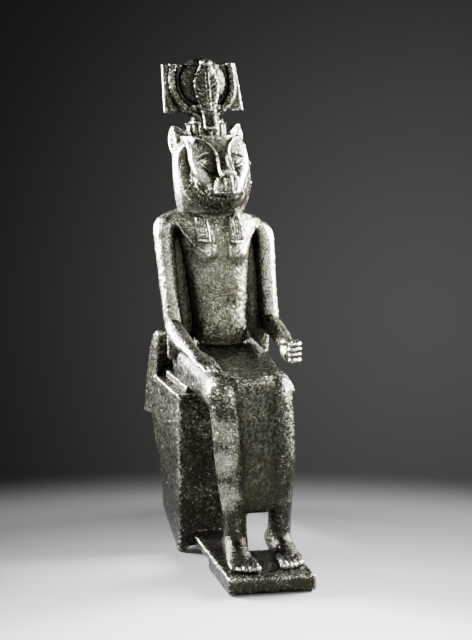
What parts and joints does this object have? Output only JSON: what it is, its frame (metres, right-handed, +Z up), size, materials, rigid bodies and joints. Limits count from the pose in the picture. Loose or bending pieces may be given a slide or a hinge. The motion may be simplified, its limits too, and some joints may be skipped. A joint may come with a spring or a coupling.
{
  "type": "seated goddess figurine",
  "caption": "Cast bronze figurine of a lioness-headed goddess seated on a low-backed throne with a footplate, wearing horns, a sun disc and a cobra.",
  "frame": {"origin": "middle of the footplate block's flat underside, on the ground", "axes": "+Z up through the figure, and she faces -Y, so her right hand is on the -X side"},
  "size_m": [0.0553, 0.1284, 0.21],
  "materials": {
    "bronze": "dark brown-green patina worn to pale metal on raised edges, with a granular corroded skin"
  },
  "bodies": {
    "root": {"goddess_figurine": "bronze"}
  },
  "joints": []
}
